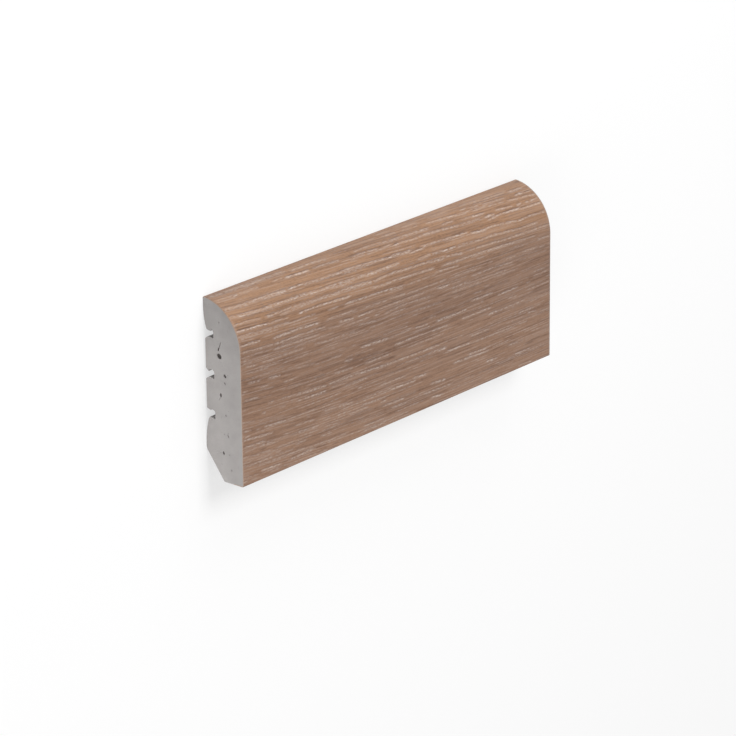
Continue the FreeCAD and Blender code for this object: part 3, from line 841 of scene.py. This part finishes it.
def foil_piece(settings):
    """Closed shell of the foil: an embossed outer side, a plain inner side and cut edges."""
    path = FoilPath(settings)
    rows = round((path.end - path.start) / settings.step_across) + 1
    columns = round(board_length / settings.step_along) + 1
    s = np.linspace(path.start, path.end, rows)
    along = np.linspace(0, board_length, columns)
    grain = Grain(along / MM, s / MM, settings.seed)
    grow_grain(grain)
    points = foil_points(settings, path, s, along, grain)
    faces, inner_side, cut_edges = foil_faces(rows, columns)

    mesh = bpy.data.meshes.new("oak_foil_skin")
    mesh.from_pydata(points.tolist(), [], faces)
    mesh.materials.append(foil_face_material(settings))
    mesh.materials.append(foil_edge_material(settings))
    for polygon in mesh.polygons:
        polygon.use_smooth = polygon.index < cut_edges
        polygon.material_index = 1 if polygon.index >= inner_side else 0
    paint_grain(mesh, grain)
    mesh.validate()
    return new_object("oak_foil_skin", mesh)


# Core

# Pores of the left end, in millimetres: depth, height, length, width, lean in degrees, hollow
left_pores = (
    (9.01, 41.60, 2.10, 1.60, -50, 1.2),
    (9.29, 43.85, 1.30, 0.70, 20, 0.5),
    (8.77, 45.05, 3.10, 0.25, 22, 0.3),
    (6.82, 35.52, 1.35, 1.00, -35, 0.55),
    (6.90, 33.08, 1.00, 0.45, -40, 0.22),
    (8.77, 28.81, 1.45, 0.85, 0, 0.5),
    (9.26, 27.45, 1.20, 0.24, 22, 0.12),
    (6.78, 22.41, 0.80, 0.42, -30, 0.18),
    (5.98, 15.72, 1.25, 0.40, -30, 0.2),
    (7.62, 16.00, 0.60, 0.30, -20, 0.1),
    (8.13, 9.63, 1.20, 0.80, -15, 0.5),
    (5.70, 9.52, 0.60, 0.38, -20, 0.12),
    (4.88, 4.53, 0.80, 0.42, -25, 0.15),
    (8.83, 52.79, 0.70, 0.42, -20, 0.18),
)


def pore_cutter(mesh_data, side, depth, height, length, width, lean, hollow):
    """Add an ellipsoid that opens a pore in an end; side is -1 for the left end, 1 for the right."""
    along = 0.0 if side < 0 else board_length
    middle = Matrix.Translation(place(along, depth * MM, height * MM))
    turn = Matrix.Rotation(math.radians(lean), 4, "X")
    size = Matrix.Diagonal((hollow * MM, length * MM / 2, width * MM / 2, 1))
    bmesh.ops.create_icosphere(mesh_data, subdivisions=3, radius=1.0, matrix=middle @ turn @ size)


def pore_cutters(settings):
    """One object that holds the ellipsoids of all pores: the left end's own, then seeded ones."""
    random = np.random.default_rng(settings.seed)
    cutters = bmesh.new()
    for pore in left_pores:
        pore_cutter(cutters, -1, *pore)
    large_pores = settings.large_pores
    for side, count in ((-1, settings.small_pores), (1, settings.small_pores + large_pores)):
        for number in range(count):
            large = side > 0 and number < large_pores
            length = random.uniform(0.7, 1.7) if large else random.uniform(0.22, 0.4)
            width = length * random.uniform(0.4, 0.75)
            depth = random.uniform(1.5, 10.0)
            highest = 44 if depth < 4 else 52
            height = random.uniform(2.5, highest)
            hollow = length * (0.5 if large else 0.35)
            lean = random.uniform(-50, 30)
            pore_cutter(cutters, side, depth, height, length, width, lean, hollow)
    mesh = bpy.data.meshes.new("pore_cutters")
    cutters.to_mesh(mesh)
    cutters.free()
    return new_object("pore_cutters", mesh)


def core_piece(settings):
    """The core with its pores opened at both sawn ends."""
    cutter = pore_cutters(settings)
    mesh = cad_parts["foam_core"].data.copy()
    mesh.name = "foam_core_body"
    piece = new_object("foam_core_body", mesh)
    work = bmesh.new()
    work.from_mesh(mesh)
    bmesh.ops.remove_doubles(work, verts=work.verts, dist=1e-7)
    bmesh.ops.dissolve_limit(work, angle_limit=math.radians(0.5), verts=work.verts, edges=work.edges)
    work.to_mesh(mesh)
    work.free()
    opened = piece.modifiers.new("pores", "BOOLEAN")
    opened.operation = "DIFFERENCE"
    opened.solver = "EXACT"
    opened.use_self = True
    opened.object = cutter
    bpy.context.view_layer.update()
    graph = bpy.context.evaluated_depsgraph_get()
    result = bpy.data.meshes.new_from_object(piece.evaluated_get(graph))
    piece.modifiers.clear()
    piece.data = result
    result.name = "foam_core_body"
    bpy.data.objects.remove(cutter)

    result.materials.clear()
    result.materials.append(foam_material(settings, True))
    result.materials.append(foam_material(settings, False))
    result.materials.append(pore_material(settings))
    half = board_length / 2
    pore_zone = 2 * MM          # no pore goes deeper
    for polygon in result.polygons:
        end_face = abs(polygon.normal.x) > 0.999 and abs(abs(polygon.center.x) - half) < 1e-6
        in_pore = not end_face and abs(polygon.center.x) > half - pore_zone
        polygon.material_index = 0 if end_face else 2 if in_pore else 1
        polygon.use_smooth = not end_face
    result.set_sharp_from_angle(angle=math.radians(30))
    return piece


# Stage


def backdrop_seen(tree):
    """1 for the rays that should meet a plain pale backdrop: from the camera, a gloss or a glass."""
    path = add(tree, "ShaderNodeLightPath")
    seen = math_node(tree, "MAXIMUM", path.outputs["Is Camera Ray"], path.outputs["Is Glossy Ray"])
    return math_node(tree, "MAXIMUM", seen, path.outputs["Is Transmission Ray"])


def floor_material():
    """Pale floor that stays nearly white to the camera and keeps part of the shadow."""
    pale, glow_share = 0.93, 0.6
    material, tree = new_material("pale_floor")
    plain = add(tree, "ShaderNodeBsdfDiffuse", Color=(pale, pale, pale, 1))
    glow = add(tree, "ShaderNodeEmission", Color=(1, 1, 1, 1), Strength=1.0)
    mixed = add(tree, "ShaderNodeMixShader")
    link(tree, math_node(tree, "MULTIPLY", backdrop_seen(tree), glow_share), mixed.inputs["Fac"])
    link(tree, plain.outputs["BSDF"], mixed.inputs[1])
    link(tree, glow.outputs["Emission"], mixed.inputs[2])
    output = add(tree, "ShaderNodeOutputMaterial")
    link(tree, mixed.outputs["Shader"], output.inputs["Surface"])
    return material


def soft_lamp(name, position, size, power):
    """Square area lamp that faces the board."""
    data = bpy.data.lights.new(name, "AREA")
    data.shape = "SQUARE"
    data.size = size
    data.energy = power
    lamp = new_object(name, data)
    lamp.location = position
    lamp.rotation_euler = (-Vector(position)).to_track_quat("-Z", "Y").to_euler()


def even_light(level):
    """World that lights evenly at the given level and looks white to the camera."""
    world = bpy.data.worlds.new("even_light")
    world.use_nodes = True
    tree = world.node_tree
    background = tree.nodes["Background"]
    background.inputs["Color"].default_value = (1, 1, 1, 1)
    strength = spread_range(tree, backdrop_seen(tree), 0.0, 1.0, level, 1.0)
    link(tree, strength, background.inputs["Strength"])
    bpy.context.scene.world = world


def build_stage(settings):
    """Pale floor under the board, three soft lamps, even light and the camera at the photo's view."""
    half = settings.floor_size / 2
    mesh = bpy.data.meshes.new("floor")
    corners = [(-half, -half, 0), (half, -half, 0), (half, half, 0), (-half, half, 0)]
    mesh.from_pydata(corners, [], [(0, 1, 2, 3)])
    mesh.materials.append(floor_material())
    floor = new_object("floor", mesh)

    soft_lamp("key", position=(0.0, 0.7, 1.0), size=0.5, power=settings.key_power)
    soft_lamp("crown", position=(0.1, 1.3, 0.3), size=1.0, power=settings.crown_power)
    soft_lamp("fill", position=(-0.9, -0.5, 0.3), size=0.7, power=settings.fill_power)
    even_light(settings.world_level)

    camera_data = bpy.data.cameras.new("camera")
    camera_data.sensor_width = 36
    camera_data.lens = settings.lens
    camera_data.clip_start = 0.01
    camera_data.clip_end = 50
    camera = new_object("camera", camera_data)
    camera.location = settings.camera_place
    camera.rotation_euler = Euler([math.radians(value) for value in settings.camera_turn], "XYZ")
    scene = bpy.context.scene
    scene.camera = camera
    scene.view_settings.view_transform = "Standard"


# Operators and panel


class SKIRTING_OT_foil(bpy.types.Operator):
    """Wrap the board in its embossed limed oak foil"""

    bl_idname = "skirting.foil"
    bl_label = "Oak foil"

    def execute(self, context):
        piece = foil_piece(context.scene.skirting_foil)
        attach(piece, "root")
        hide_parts("oak_foil")
        return {"FINISHED"}


class SKIRTING_OT_core(bpy.types.Operator):
    """Open the pores of the foamed core and give it its finish"""

    bl_idname = "skirting.core"
    bl_label = "Foamed core"

    def execute(self, context):
        piece = core_piece(context.scene.skirting_core)
        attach(piece, "root")
        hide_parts("foam_core")
        return {"FINISHED"}


class SKIRTING_OT_stage(bpy.types.Operator):
    """Set the floor, the lights and the camera"""

    bl_idname = "skirting.stage"
    bl_label = "Stage"

    def execute(self, context):
        build_stage(context.scene.skirting_stage)
        return {"FINISHED"}


class SKIRTING_PT_panel(bpy.types.Panel):
    """Each operator with its settings below it"""

    bl_idname = "SKIRTING_PT_panel"
    bl_label = "Skirting board"
    bl_space_type = "VIEW_3D"
    bl_region_type = "UI"
    bl_category = "Skirting"

    def draw(self, context):
        scene = context.scene
        groups = (scene.skirting_foil, scene.skirting_core, scene.skirting_stage)
        for operator, settings in zip(operators, groups):
            box = self.layout.box()
            box.operator(operator.bl_idname)
            for name in type(settings).__annotations__:
                box.prop(settings, name)


operators = (SKIRTING_OT_foil, SKIRTING_OT_core, SKIRTING_OT_stage)
classes = (FoilSettings, CoreSettings, StageSettings, *operators, SKIRTING_PT_panel)


def register():
    for item in classes:
        bpy.utils.register_class(item)
    bpy.types.Scene.skirting_foil = PointerProperty(type=FoilSettings)
    bpy.types.Scene.skirting_core = PointerProperty(type=CoreSettings)
    bpy.types.Scene.skirting_stage = PointerProperty(type=StageSettings)


def unregister():
    del bpy.types.Scene.skirting_stage
    del bpy.types.Scene.skirting_core
    del bpy.types.Scene.skirting_foil
    for item in reversed(classes):
        bpy.utils.unregister_class(item)


def main():
    register()
    bpy.ops.skirting.foil()
    bpy.ops.skirting.core()
    bpy.ops.skirting.stage()


if __name__ == "__main__":
    main()
